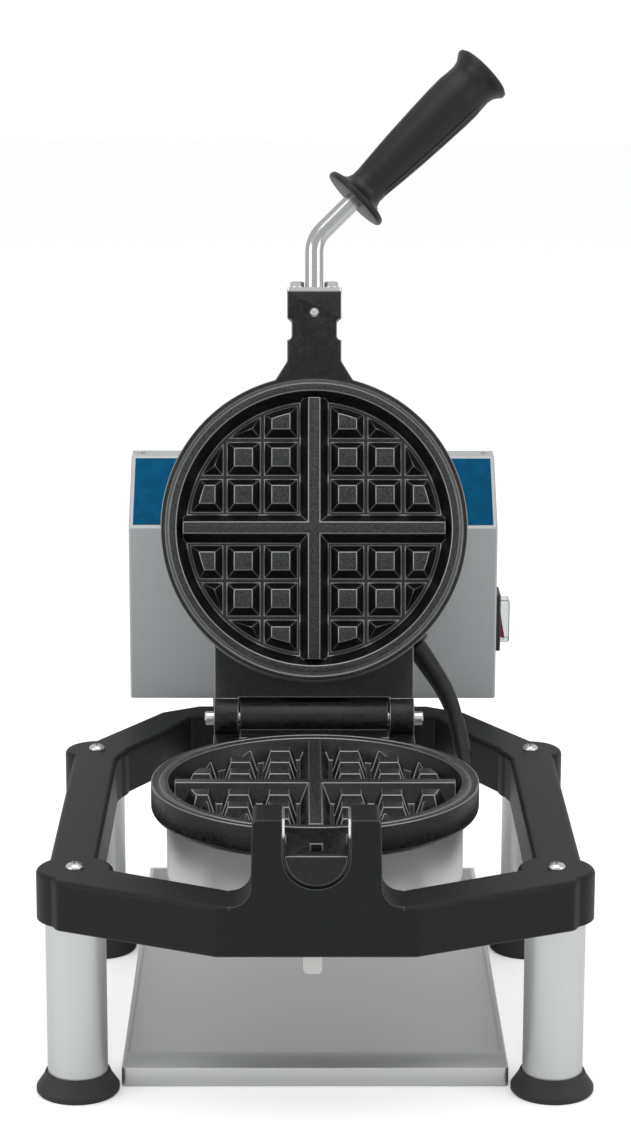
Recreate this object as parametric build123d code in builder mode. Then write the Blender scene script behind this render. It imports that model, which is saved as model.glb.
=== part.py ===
from build123d import *
import math
import os

# Rotary Belgian waffle maker, millimetres, +Z up, +Y to the rear, -Y to the user.
# Z = 0 is the counter, X = 0 the middle plane, Y = 0 the middle of the footprint.

# Driving dimensions: frame ring and legs
leg_span_front = 284.0
leg_span_rear = 289.0
leg_span_depth = 245.8
leg_radius = 18.0
leg_wall = 1.5
frame_top = 140.0
frame_height = 30.0
front_reach = 193.0  # legs' middle to the front face of the ring
rear_edge = 230.0  # legs' middle to the rear face of the ring
bar_depth = 29.5
rear_bar_depth = 26.6
side_out = 16.0  # side bar outside the line of the legs
side_in = 12.5  # side bar inside that line
nose_half = 57.0
rear_half = 80.0
front_boss_radius = 22.9
rear_boss_radius = 21.0
frame_round = 3.0

# Driving dimensions: turning axis and its bearings
axis_z = 169.9
neck_radius = 17.85
cradle_gap = 0.3
ear_top = 191.5
ear_half = 36.4
column_half = 37.7
cradle_round = 12.0
liner_thick = 1.3
liner_set_back = 3.0
shaft_radius = 10.0
bush_wall = 3.0
run_gap = 0.05
bearing_half = 30.0

# Driving dimensions: irons
waffle_pitch = 24.5
iron_radius = 100.5
iron_depth = 19.5
iron_round = 5.0
bed_radius = 90.2
bed_floor_radius = 84.3
bed_depth = 13.2
nub_field_radius = 81.6
nub_drop = 1.2  # nub tops below the parting plane
nub_base = 21.3
nub_top = 12.25
nub_first = 21.85
rib_top = 7.8
rib_base = 19.0
rim_groove_radius = 96.2
rim_groove_width = 1.6
rim_groove_depth = 1.2
parting_gap = 0.3
iron_set_back = 43.3  # plate centre in front of the legs' middle
hinge_reach = 124.3
hinge_rise = 3.4
hinge_radius = 10.5
pin_radius = 4.5
pin_half = 71.0
barrel_half = 48.0
ear_outer = 65.0
ear_gap = 1.0
lower_neck = 148.4
upper_neck = 155.9
neck_fillet = 9.0
lean_back = 16.9  # open lid past the vertical

# Driving dimensions: heater drums
drum_radius = 91.0
drum_depth = 42.0
drum_wall = 1.2
heater_radius = 58.0
heater_rod = 4.2
insulation_thick = 12.0
stud_radius = 4.0
nut_across = 13.0
nut_height = 6.5
gland_radius = 9.0
gland_length = 12.0
hose_radius = 5.0

# Driving dimensions: handle
tube_radius = 6.0
tube_wall = 1.2
tube_bend = 20.0
bend_reach = 191.5  # plate centre to the corner of the tube
guard_reach = 39.0  # corner to the guard disc along the grip
grip_length = 124.0
guard_radius = 23.5
guard_thick = 5.0
grip_waist = 11.5
grip_belly = 17.0
grip_flare = 21.5
grip_angle = 45.0
end_plate_thick = 2.5
bolt_spacing = 22.5
bolt_across = 8.0
bolt_radius = 2.5
roll_pin_radius = 2.5

# Driving dimensions: control box
box_front = 232.0  # legs' middle to the front face
box_width = 256.0
box_bottom = 144.4
box_fold = 266.8  # height of the fold under the sloped panel
box_top = 308.3
slope_run = 50.0
top_run = 18.5
sheet = 1.2
label_thick = 0.6
label_inset = 3.0
gland_reach = 16.0
back_lap = 8.0

# Driving dimensions: tray and feet
tray_front = 118.5
tray_rear = 255.0
tray_height = 12.0
tray_sheet = 1.0
tray_hem = 2.4
tray_grip = 26.0
foot_radius = 24.9
foot_height = 13.0
foot_top_radius = 19.4
spigot_length = 16.0
tray_gap = 0.8  # between the tray and the widest part of the feet
tray_width = min(leg_span_front, leg_span_rear) - 2 * foot_radius - 2 * tray_gap

# Places that follow from the sizes above
box_depth = slope_run + top_run
rear_reach = box_front + box_depth + gland_reach
legs_y = (front_reach - rear_reach) / 2
frame_bottom = frame_top - frame_height
front_y = legs_y - front_reach
rear_y = legs_y + rear_edge
half_front = leg_span_front / 2
half_rear = leg_span_rear / 2
leg_y = leg_span_depth / 2
iron_y = legs_y - iron_set_back
hinge_y = iron_y + hinge_reach
hinge_z = axis_z + hinge_rise
lean = math.radians(lean_back)
leg_places = {
    "front_left": (-half_front, legs_y - leg_y, front_boss_radius),
    "front_right": (half_front, legs_y - leg_y, front_boss_radius),
    "rear_left": (-half_rear, legs_y + leg_y, rear_boss_radius),
    "rear_right": (half_rear, legs_y + leg_y, rear_boss_radius),
}
lower_face = Plane((0, iron_y, axis_z), x_dir=(1, 0, 0), z_dir=(0, 0, 1))
upper_normal = Vector(0, -math.cos(lean), math.sin(lean))
upper_along = Vector(0, math.sin(lean), math.cos(lean))
hinge_point = Vector(0, hinge_y, hinge_z)
upper_knuckle = hinge_rise - parting_gap
upper_centre = hinge_point + upper_along * hinge_reach + upper_normal * upper_knuckle
upper_face = Plane(upper_centre, x_dir=(-1, 0, 0), z_dir=upper_normal)

os.makedirs("parts", exist_ok=True)


def save(builder, label):
    """Name the finished piece and write it as its own STEP file."""
    builder.part.label = label
    export_step(builder.part, f"parts/{label}.step")


def on_face(face, x, y, z=0.0):
    """A plane parallel to `face`, moved by x, y and z in its own directions."""
    shift = face.x_dir * x + face.y_dir * y + face.z_dir * z
    return Plane(face.origin + shift, x_dir=face.x_dir, z_dir=face.z_dir)


def facing_front(y):
    """An upright plane at that y whose normal points to the user; extruding -d goes back."""
    return Plane.XZ.offset(-y)


def across(face, x, y, z=0.0):
    """A plane at that place whose normal runs along the hinge (the face's x direction)."""
    shift = face.x_dir * x + face.y_dir * y + face.z_dir * z
    return Plane(face.origin + shift, x_dir=face.y_dir, z_dir=face.x_dir)


def along(face, x, y, z=0.0):
    """A plane at that place whose normal points from the plate towards its hinge."""
    shift = face.x_dir * x + face.y_dir * y + face.z_dir * z
    return Plane(face.origin + shift, x_dir=face.x_dir * -1, z_dir=face.y_dir)


# Frame ring: one casting with leg bosses, front cradle and rear saddle
screw_radius = 4.0
screw_hole_gap = 0.3
head_radius = 5.6
head_height = 3.2
insert_height = 14.0
cap_split = 0.5
cradle_radius = neck_radius + cradle_gap + liner_thick
bush_radius = shaft_radius + run_gap + bush_wall
saddle_depth = rear_bar_depth - 4.0
saddle_y = rear_y - rear_bar_depth / 2
cap_screw_x = bush_radius + 8.0
cap_screw_radius = 2.5
cap_screw_depth = 16.0
cap_height = 7.0
ring_corner = 6.0
bracket_x = (-50.0, 50.0)
bracket_z = frame_bottom + 15
bracket_screw = 3.0
bracket_screw_depth = 12.0
bracket_half = 70.0
bracket_thick = 2.0
tab_width = 11.0
tab_drop = 13.0
tab_flange = 16.0
tab_thick = 1.5
tab_place = (-2.0, front_y + 8.0)


def make_frame_ring():
    front_leg = legs_y - leg_y
    rear_leg = legs_y + leg_y
    outer = [
        (0, front_y),
        (nose_half, front_y),
        (half_front + 9, front_leg - 26),
        (half_front + side_out, front_leg - 12),
        (half_rear + side_out - 1.5, rear_leg + 2),
        (half_rear + 3, rear_leg + 20),
        (rear_half + 25.5, rear_y - 16),
        (rear_half, rear_y),
        (0, rear_y),
    ]
    inner = [
        (0, front_y + bar_depth),
        (nose_half - 9.4, front_y + bar_depth),
        (half_front - 20, front_leg - 2),
        (half_front - side_in, front_leg + 17),
        (half_rear - side_in - 2, rear_leg - 22),
        (half_rear - 20, rear_leg - 2),
        (rear_half + 24, rear_leg + 35),
        (rear_half + 4, rear_y - rear_bar_depth - 3),
        (rear_half - 4, rear_y - rear_bar_depth),
        (0, rear_y - rear_bar_depth),
    ]
    with BuildPart() as ring:
        with BuildSketch(Plane.XY.offset(frame_bottom)) as plan:
            with BuildLine():
                Polyline(*outer)
                mirror(about=Plane.YZ)
            make_face()
            fillet([v for v in plan.vertices() if abs(v.X) > 1], radius=ring_corner)
            with BuildLine():
                Polyline(*inner)
                mirror(about=Plane.YZ)
            make_face(mode=Mode.SUBTRACT)
            for x, y, boss in leg_places.values():
                with Locations((x, y)):
                    Circle(boss)
        extrude(amount=frame_height)
        fillet(ring.faces().sort_by(Axis.Z)[-1].edges(), radius=frame_round)
        with BuildSketch(facing_front(front_y)) as cradle:
            with BuildLine():
                Polyline(
                    (0, frame_bottom + frame_round),
                    (column_half + cradle_round, frame_bottom + frame_round),
                    (column_half + cradle_round, frame_top),
                    (column_half, frame_top),
                    (ear_half, ear_top),
                    (cradle_radius, ear_top),
                    (cradle_radius, axis_z),
                    (0, axis_z),
                )
                mirror(about=Plane.YZ)
            make_face()
            foot_corners = [v for v in cradle.vertices() if abs(abs(v.X) - column_half) < 0.1]
            fillet(foot_corners, radius=cradle_round - 0.5)
            ear_corners = [v for v in cradle.vertices() if v.Y > ear_top - 0.1]
            fillet([v for v in ear_corners if abs(v.X) > cradle_radius + 1], radius=3)
            with Locations((0, axis_z)):
                Circle(cradle_radius, mode=Mode.SUBTRACT)
        extrude(amount=-bar_depth)
        with BuildSketch(facing_front(saddle_y - saddle_depth / 2)):
            with Locations((0, (frame_bottom + frame_round + axis_z - cap_split) / 2)):
                Rectangle(2 * bearing_half, axis_z - cap_split - frame_bottom - frame_round)
            with Locations((0, axis_z)):
                Circle(bush_radius, mode=Mode.SUBTRACT)
        extrude(amount=-saddle_depth)
        for x, y, _ in leg_places.values():
            with Locations((x, y, frame_top)):
                Hole(radius=screw_radius + screw_hole_gap, depth=frame_height)
        with Locations(*[(x, saddle_y, axis_z - cap_split) for x in (-cap_screw_x, cap_screw_x)]):
            Hole(radius=cap_screw_radius, depth=cap_screw_depth)
        with Locations(*[Plane((x, rear_y, bracket_z), z_dir=(0, 1, 0)) for x in bracket_x]):
            Hole(radius=bracket_screw, depth=bracket_screw_depth)
    save(ring, "frame_ring")


make_frame_ring()


def make_cradle_liner():
    inner = neck_radius + cradle_gap
    with BuildPart() as liner:
        with BuildSketch(facing_front(front_y + liner_set_back)):
            with Locations((0, axis_z)):
                Circle(cradle_radius)
            with Locations((0, (axis_z + ear_top) / 2)):
                Rectangle(2 * cradle_radius, ear_top - axis_z)
            with Locations((0, axis_z)):
                Circle(inner, mode=Mode.SUBTRACT)
            with Locations((0, axis_z + cradle_radius)):
                Rectangle(2 * inner, 2 * cradle_radius, mode=Mode.SUBTRACT)
        extrude(amount=-(bar_depth - 2 * liner_set_back))
    save(liner, "cradle_liner")


make_cradle_liner()


# Legs: drawn tubes, each on a conical rubber foot and held by a screw into a nut plug
def make_leg(place, x, y):
    with BuildPart() as leg:
        with BuildSketch(Plane.XY.offset(foot_height)):
            with Locations((x, y)):
                Circle(leg_radius)
                Circle(leg_radius - leg_wall, mode=Mode.SUBTRACT)
        extrude(amount=frame_bottom - foot_height)
    save(leg, f"leg_{place}")


def make_foot(place, x, y):
    spigot = leg_radius - leg_wall - run_gap
    with BuildPart() as foot:
        with BuildSketch(Plane((x, y, 0), x_dir=(1, 0, 0), z_dir=(0, -1, 0))):
            with BuildLine():
                Polyline(
                    (0, 0),
                    (foot_radius - 1, 0),
                    (foot_radius, 1.2),
                    (foot_radius, 3.6),
                    (foot_top_radius + 1.2, foot_height - 3),
                    (foot_top_radius, foot_height),
                    (spigot, foot_height),
                    (spigot, foot_height + spigot_length),
                    (0, foot_height + spigot_length),
                    close=True,
                )
            make_face()
        revolve(axis=Axis((x, y, 0), (0, 0, 1)))
    save(foot, f"foot_{place}")


for place, (x, y, _) in leg_places.items():
    make_leg(place, x, y)
    make_foot(place, x, y)


def make_frame_screws():
    with BuildPart() as screws:
        for x, y, _ in leg_places.values():
            with BuildSketch(Plane.XY.offset(frame_top)):
                with Locations((x, y)):
                    Circle(head_radius)
            extrude(amount=head_height)
            with BuildSketch(Plane.XY.offset(frame_top)):
                with Locations((x, y)):
                    Circle(screw_radius)
            extrude(amount=-(frame_height + insert_height))
        head_rims = screws.edges().filter_by(GeomType.CIRCLE).group_by(Axis.Z)[-1]
        fillet(head_rims, radius=head_height * 0.6)
    save(screws, "frame_screws")


def make_leg_inserts():
    with BuildPart() as inserts:
        with BuildSketch(Plane.XY.offset(frame_bottom)):
            with Locations(*[(x, y) for x, y, _ in leg_places.values()]):
                Circle(leg_radius - leg_wall)
                Circle(screw_radius, mode=Mode.SUBTRACT)
        extrude(amount=-insert_height)
    save(inserts, "leg_inserts")


make_frame_screws()
make_leg_inserts()


# Rear bearing: bronze bush between the saddle and its bolted cap
def make_rear_bearing():
    front = facing_front(saddle_y - saddle_depth / 2)
    with BuildPart() as bush:
        with BuildSketch(front):
            with Locations((0, axis_z)):
                Circle(bush_radius)
                Circle(shaft_radius + run_gap, mode=Mode.SUBTRACT)
        extrude(amount=-saddle_depth)
    save(bush, "rear_bush")
    cap_bottom = axis_z - cap_split
    cap_top = axis_z + bush_radius + cap_height
    with BuildPart() as cap:
        with BuildSketch(front):
            with Locations((0, (cap_bottom + cap_top) / 2)):
                Rectangle(2 * bearing_half, cap_top - cap_bottom)
            with Locations((0, axis_z)):
                Circle(bush_radius, mode=Mode.SUBTRACT)
        extrude(amount=-saddle_depth)
        fillet(cap.edges().filter_by(Axis.Y).group_by(Axis.Z)[-1], radius=cap_height - 1)
        with Locations(*[(x, saddle_y, cap_top) for x in (-cap_screw_x, cap_screw_x)]):
            Hole(radius=cap_screw_radius)
    save(cap, "bearing_cap")
    with BuildPart() as screws:
        with BuildSketch(Plane.XY.offset(cap_top)):
            with Locations(*[(x, saddle_y) for x in (-cap_screw_x, cap_screw_x)]):
                RegularPolygon(cap_screw_radius * 1.8, 6)
        extrude(amount=cap_screw_radius * 1.4)
        with BuildSketch(Plane.XY.offset(cap_top)):
            with Locations(*[(x, saddle_y) for x in (-cap_screw_x, cap_screw_x)]):
                Circle(cap_screw_radius)
        extrude(amount=-(cap_top - axis_z + cap_screw_depth - 1))
    save(screws, "cap_screws")


make_rear_bearing()


# Turn stop: bent steel tab screwed under the front bar
def make_turn_stop():
    x, y = tab_place
    with BuildPart() as tab:
        with BuildSketch(Plane.XY.offset(frame_bottom)):
            with Locations((x, y + tab_flange / 2)):
                Rectangle(tab_width, tab_flange)
        extrude(amount=-tab_thick)
        with BuildSketch(facing_front(y)) as blade:
            with Locations((x, frame_bottom - tab_drop / 2)):
                Rectangle(tab_width, tab_drop)
            fillet(blade.vertices().group_by(Axis.Y)[0], radius=3)
        extrude(amount=-tab_thick)
        with Locations(Plane((x, y + tab_flange * 0.6, frame_bottom), z_dir=(0, 0, 1))):
            Hole(radius=2)
    save(tab, "turn_stop_tab")
    with BuildPart() as screw:
        with BuildSketch(Plane.XY.offset(frame_bottom - tab_thick)):
            with Locations((x, y + tab_flange * 0.6)):
                Circle(3.5)
        extrude(amount=-2.4)
        with BuildSketch(Plane.XY.offset(frame_bottom - tab_thick)):
            with Locations((x, y + tab_flange * 0.6)):
                Circle(2)
        extrude(amount=tab_thick)
    save(screw, "stop_screw")


make_turn_stop()


# Irons: cast plates with a quartered field of nubs, half necks and hinge knuckles
def slope_angle(run, rise):
    return math.degrees(math.atan2(run, rise))


nub_height = bed_depth - nub_drop
nub_taper = slope_angle((nub_base - nub_top) / 2, nub_height)
bed_taper = slope_angle(bed_radius - bed_floor_radius, bed_depth)
rib_drop = 0.8
rib_reach = bed_floor_radius + 1.7
web_start = iron_radius - 5.5
web_end = iron_radius + neck_fillet
lug_start = 76.0
lug_top = 4.0  # lug plates lie this far behind the parting plane
lug_bottom = 18.0
ear_radius = hinge_radius + 2.0
notch_place = 130.6
notch_length = 13.8
notch_depth = 2.9
latch_hole = (6.8, 13.0, 6.0)
latch_place = 131.8
arm_half = 18.0
arm_top = 7.0
boss_start = 26.0  # behind the hinge axis
boss_length = 18.0
boss_radius = 14.0
bolt_depth = 12.0
neck_mid = neck_radius * 0.5


def nub_places():
    steps = [nub_first + waffle_pitch * step for step in range(3)]
    reach = nub_field_radius - 2
    quarter = [
        (x, y) for x in steps for y in steps
        if math.hypot(x - nub_base / 2, y - nub_base / 2) < reach - 6
    ]
    return [(sx * x, sy * y) for x, y in quarter for sx in (-1, 1) for sy in (-1, 1)]


def make_iron(face, label, neck_length, is_lower):
    knuckle_z = hinge_rise if is_lower else -upper_knuckle
    outward = Axis(face.origin, face.z_dir)
    with BuildPart() as nubs:
        with BuildSketch(on_face(face, 0, 0, -bed_depth)):
            with Locations(*nub_places()):
                Rectangle(nub_base, nub_base)
        extrude(amount=nub_height, taper=nub_taper)
        with BuildSketch(on_face(face, 0, 0, -bed_depth)):
            Circle(nub_field_radius)
        extrude(amount=nub_height, taper=nub_taper, mode=Mode.INTERSECT)
    with BuildPart() as iron:
        with BuildSketch(face):
            Circle(iron_radius)
        extrude(amount=-iron_depth)
        fillet(iron.edges().sort_by(outward)[0], radius=iron_round)
        with BuildSketch(along(face, 0, -neck_length)):
            Circle(neck_radius)
            with Locations((0, neck_radius)):
                Rectangle(2.2 * neck_radius, 2 * neck_radius, mode=Mode.SUBTRACT)
        extrude(amount=neck_length - iron_radius + iron_round + 3)
        with BuildSketch(face):
            with BuildLine():
                Polyline(
                    (-neck_radius, -web_end),
                    (neck_radius, -web_end),
                    (neck_radius + neck_fillet, -web_start),
                    (-neck_radius - neck_fillet, -web_start),
                    close=True,
                )
            make_face()
        extrude(amount=-neck_radius * 0.7)
        with BuildSketch(on_face(face, 0, 0, -lug_top)):
            with Locations((0, (lug_start + hinge_reach) / 2)):
                Rectangle(2 * ear_outer, hinge_reach - lug_start)
        extrude(amount=-(lug_bottom - lug_top))
        if is_lower:
            with BuildSketch(across(face, ear_outer + 1, hinge_reach, knuckle_z)):
                Circle(ear_radius + ear_gap)
            extrude(amount=-(2 * ear_outer + 2), mode=Mode.SUBTRACT)
            with BuildSketch(across(face, -barrel_half, hinge_reach, knuckle_z)):
                Circle(hinge_radius)
            extrude(amount=2 * barrel_half)
            with BuildSketch(across(face, -barrel_half, 0, 0)):
                with Locations((hinge_reach - ear_radius - 2, -lug_bottom / 2)):
                    Rectangle(2 * ear_radius, lug_bottom - lug_top)
            extrude(amount=2 * barrel_half)
            with BuildSketch(on_face(face, 0, 0, -arm_top)):
                with Locations((0, hinge_reach + (boss_start + boss_length) / 2 - 5)):
                    Rectangle(2 * arm_half, boss_start + boss_length + 10)
            extrude(amount=-(lug_bottom - arm_top))
            with BuildSketch(along(face, 0, hinge_reach + boss_start)):
                Circle(boss_radius)
            extrude(amount=boss_length)
            with BuildSketch(along(face, 0, hinge_reach + boss_start)):
                Circle(shaft_radius)
            extrude(amount=boss_length, mode=Mode.SUBTRACT)
            with BuildSketch(on_face(face, 0, -latch_place)):
                Rectangle(latch_hole[0], latch_hole[1])
            extrude(amount=-latch_hole[2], mode=Mode.SUBTRACT)
        else:
            with BuildSketch(across(face, -ear_outer, hinge_reach, knuckle_z)):
                Circle(ear_radius)
            extrude(amount=2 * ear_outer)
            with BuildSketch(across(face, -barrel_half - ear_gap, hinge_reach, knuckle_z)):
                Circle(ear_radius + ear_gap)
            extrude(amount=2 * (barrel_half + ear_gap), mode=Mode.SUBTRACT)
            with BuildSketch(face):
                with Locations((neck_radius, -notch_place), (-neck_radius, -notch_place)):
                    RectangleRounded(2 * notch_depth, notch_length, notch_depth - 0.3)
            extrude(amount=-neck_radius, mode=Mode.SUBTRACT)
            with BuildSketch(along(face, 0, -neck_length)):
                with Locations(*[(x, -neck_mid) for x in (-bolt_spacing / 2, bolt_spacing / 2)]):
                    Circle(bolt_radius)
            extrude(amount=bolt_depth, mode=Mode.SUBTRACT)
            with BuildSketch(on_face(face, 0, -neck_length + 14)):
                Circle(roll_pin_radius)
            extrude(amount=-neck_radius, mode=Mode.SUBTRACT)
        with BuildSketch(across(face, -ear_outer - 1, hinge_reach, knuckle_z)):
            Circle(pin_radius if is_lower else pin_radius + run_gap)
        extrude(amount=2 * ear_outer + 2, mode=Mode.SUBTRACT)
        with BuildSketch(face):
            Circle(bed_radius)
        extrude(amount=-bed_depth, taper=bed_taper, mode=Mode.SUBTRACT)
        with BuildSketch(face):
            Circle(rim_groove_radius + rim_groove_width / 2)
            Circle(rim_groove_radius - rim_groove_width / 2, mode=Mode.SUBTRACT)
        extrude(amount=-rim_groove_depth, mode=Mode.SUBTRACT)
        add(nubs.part)
        rib = [
            (-rib_base / 2, -bed_depth - 1),
            (rib_base / 2, -bed_depth - 1),
            (rib_top / 2, -rib_drop),
            (-rib_top / 2, -rib_drop),
        ]
        with BuildSketch(along(face, 0, -rib_reach)):
            Polygon(*rib, align=None)
        extrude(amount=2 * rib_reach)
        with BuildSketch(across(face, -rib_reach, 0)):
            Polygon(*rib, align=None)
        extrude(amount=2 * rib_reach)
        with BuildSketch(on_face(face, 0, 0, -bed_depth - 1)):
            Circle(stud_radius)
        extrude(amount=-(iron_depth + drum_depth + nut_height + 2 - bed_depth - 1))
    save(iron, label)


make_iron(lower_face, "lower_iron", lower_neck, True)
make_iron(upper_face, "upper_iron", upper_neck, False)


# Heater drums: spun steel cups over the heating ring, held by a nut on the iron's stud
gland_down = iron_depth + drum_depth / 2
lower_gland_angle = 40.0
upper_gland_angle = 133.0
gland_thread = 6.0
gland_bore = 3.5
terminal_radius = 2.2
terminal_length = 8.0
terminal_angle = 8.0
drum_round = 4.0
insulation_start = 18.0
seat_gap = 0.1


def radial(face, angle, radius, depth):
    """A plane on the drum's side at that angle whose normal points away from its axis."""
    turn = math.radians(angle)
    out = face.x_dir * math.cos(turn) + face.y_dir * math.sin(turn)
    origin = face.origin + out * radius - face.z_dir * depth
    return Plane(origin, x_dir=face.z_dir, z_dir=out)


def make_heater_set(face, side, gland_angle):
    back = Axis(face.origin, face.z_dir)
    with BuildPart() as drum:
        with BuildSketch(on_face(face, 0, 0, -iron_depth)):
            Circle(drum_radius)
        extrude(amount=-drum_depth)
        fillet(drum.edges().sort_by(back)[0], radius=drum_round)
        with BuildSketch(on_face(face, 0, 0, -iron_depth)):
            Circle(drum_radius - drum_wall)
        extrude(amount=-(drum_depth - drum_wall), mode=Mode.SUBTRACT)
        with BuildSketch(on_face(face, 0, 0, -iron_depth)):
            Circle(stud_radius + seat_gap)
        extrude(amount=-drum_depth, mode=Mode.SUBTRACT)
        with BuildSketch(radial(face, gland_angle, drum_radius + 1, gland_down)):
            Circle(gland_thread)
        extrude(amount=-(drum_wall + 5), mode=Mode.SUBTRACT)
    save(drum, f"{side}_drum")
    with BuildPart() as gland:
        with BuildSketch(radial(face, gland_angle, drum_radius, gland_down)):
            Circle(gland_radius)
        extrude(amount=gland_length)
        fillet(gland.edges().group_by(Axis(face.origin, radial(face, gland_angle, 1, 0).z_dir))[-1],
               radius=2.5)
        with BuildSketch(radial(face, gland_angle, drum_radius, gland_down)):
            Circle(gland_thread)
        extrude(amount=-drum_wall - 4)
        with BuildSketch(radial(face, gland_angle, drum_radius + gland_length, gland_down)):
            Circle(gland_bore)
        extrude(amount=-(gland_length + drum_wall + 4), mode=Mode.SUBTRACT)
    save(gland, f"{side}_hose_gland")
    with BuildPart() as nut:
        with BuildSketch(on_face(face, 0, 0, -iron_depth - drum_depth)):
            RegularPolygon(nut_across / 2, 6, major_radius=False)
            Circle(stud_radius, mode=Mode.SUBTRACT)
        extrude(amount=-nut_height)
    save(nut, f"{side}_drum_nut")
    ring_depth = iron_depth + heater_rod + seat_gap
    with BuildPart() as heater:
        ring_face = on_face(face, 0, 0, -ring_depth)
        with BuildSketch(across(ring_face, 0, 0)):
            with Locations((heater_radius, 0)):
                Circle(heater_rod)
        revolve(axis=Axis(ring_face.origin, ring_face.z_dir))
        turns = [math.radians(angle) for angle in (-terminal_angle, terminal_angle)]
        with BuildSketch(ring_face):
            for turn in turns:
                with Locations((heater_radius * math.sin(turn), heater_radius * math.cos(turn))):
                    Circle(terminal_radius)
        extrude(amount=-(terminal_length + heater_rod))
    save(heater, f"{side}_heater")
    with BuildPart() as insulation:
        with BuildSketch(on_face(face, 0, 0, -iron_depth - insulation_start)):
            Circle(drum_radius - drum_wall - seat_gap)
            Circle(stud_radius + seat_gap, mode=Mode.SUBTRACT)
        extrude(amount=-insulation_thick)
        with BuildSketch(radial(face, gland_angle, drum_radius + 1, gland_down)):
            Circle(gland_thread + seat_gap)
        extrude(amount=-(drum_wall + 9), mode=Mode.SUBTRACT)
    save(insulation, f"{side}_insulation")


make_heater_set(lower_face, "lower", lower_gland_angle)
make_heater_set(upper_face, "upper", upper_gland_angle)

probe_radius = 3.0
probe_length = 44.0
probe_x = 25.0


def make_thermostat_probe():
    depth = iron_depth + probe_radius + seat_gap
    with BuildPart() as probe:
        with BuildSketch(along(lower_face, probe_x, -probe_length / 2, -depth)):
            Circle(probe_radius)
        extrude(amount=probe_length)
    save(probe, "thermostat_probe")


make_thermostat_probe()


# Turning parts: hinge pin through the knuckles and the rear shaft with its collar
collar_width = 6.0
collar_radius = 15.0
shaft_end_gap = 1.5


def make_pins():
    pin_face = across(lower_face, -pin_half, hinge_reach, hinge_rise)
    with BuildPart() as pin:
        with BuildSketch(pin_face):
            Circle(pin_radius)
        extrude(amount=2 * pin_half)
        chamfer(pin.edges(), length=0.8)
    save(pin, "hinge_pin")
    shaft_start = hinge_reach + boss_start
    shaft_end = rear_y - shaft_end_gap - iron_y
    with BuildPart() as shaft:
        with BuildSketch(along(lower_face, 0, shaft_start)):
            Circle(shaft_radius)
        extrude(amount=shaft_end - shaft_start)
        chamfer(shaft.edges().group_by(Axis.Y)[-1], length=1)
    save(shaft, "rear_shaft")
    with BuildPart() as collar:
        with BuildSketch(facing_front(saddle_y - saddle_depth / 2 - collar_width - parting_gap)):
            with Locations((0, axis_z)):
                Circle(collar_radius)
                Circle(shaft_radius, mode=Mode.SUBTRACT)
        extrude(amount=-collar_width)
    save(collar, "shaft_collar")


make_pins()


# Neck fittings and handle of the upper iron
end_y = upper_neck + end_plate_thick
tube_in_grip = 70.0
washer_thick = 1.2
bolt_head = 3.4


def make_neck_fittings():
    plate_face = along(upper_face, 0, -end_y)
    plate_width = 2 * neck_radius + 0.4
    plate_tall = neck_radius * 0.92
    bolts = [(x, -neck_mid) for x in (-bolt_spacing / 2, bolt_spacing / 2)]
    with BuildPart() as plate:
        with BuildSketch(plate_face) as outline:
            with Locations((0, -plate_tall / 2)):
                Rectangle(plate_width, plate_tall)
            fillet(outline.vertices(), radius=1.5)
            with Locations(*bolts):
                Circle(bolt_radius, mode=Mode.SUBTRACT)
        extrude(amount=end_plate_thick)
    save(plate, "neck_end_plate")
    with BuildPart() as screws:
        with BuildSketch(plate_face):
            with Locations(*bolts):
                Circle(bolt_across / 2 + 0.6)
        extrude(amount=-washer_thick)
        with BuildSketch(plate_face.offset(-washer_thick)):
            with Locations(*bolts):
                RegularPolygon(bolt_across / 2, 6, major_radius=False)
        extrude(amount=-bolt_head)
        with BuildSketch(plate_face):
            with Locations(*bolts):
                Circle(bolt_radius)
        extrude(amount=end_plate_thick + bolt_depth - 1)
    save(screws, "neck_bolts")
    with BuildPart() as roll_pin:
        with BuildSketch(on_face(upper_face, 0, -upper_neck + 14)):
            Circle(roll_pin_radius)
        extrude(amount=-neck_radius * 0.9)
        fillet(roll_pin.edges().sort_by(Axis(upper_face.origin, upper_face.z_dir))[-1], radius=0.8)
    save(roll_pin, "roll_pin")


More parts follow.
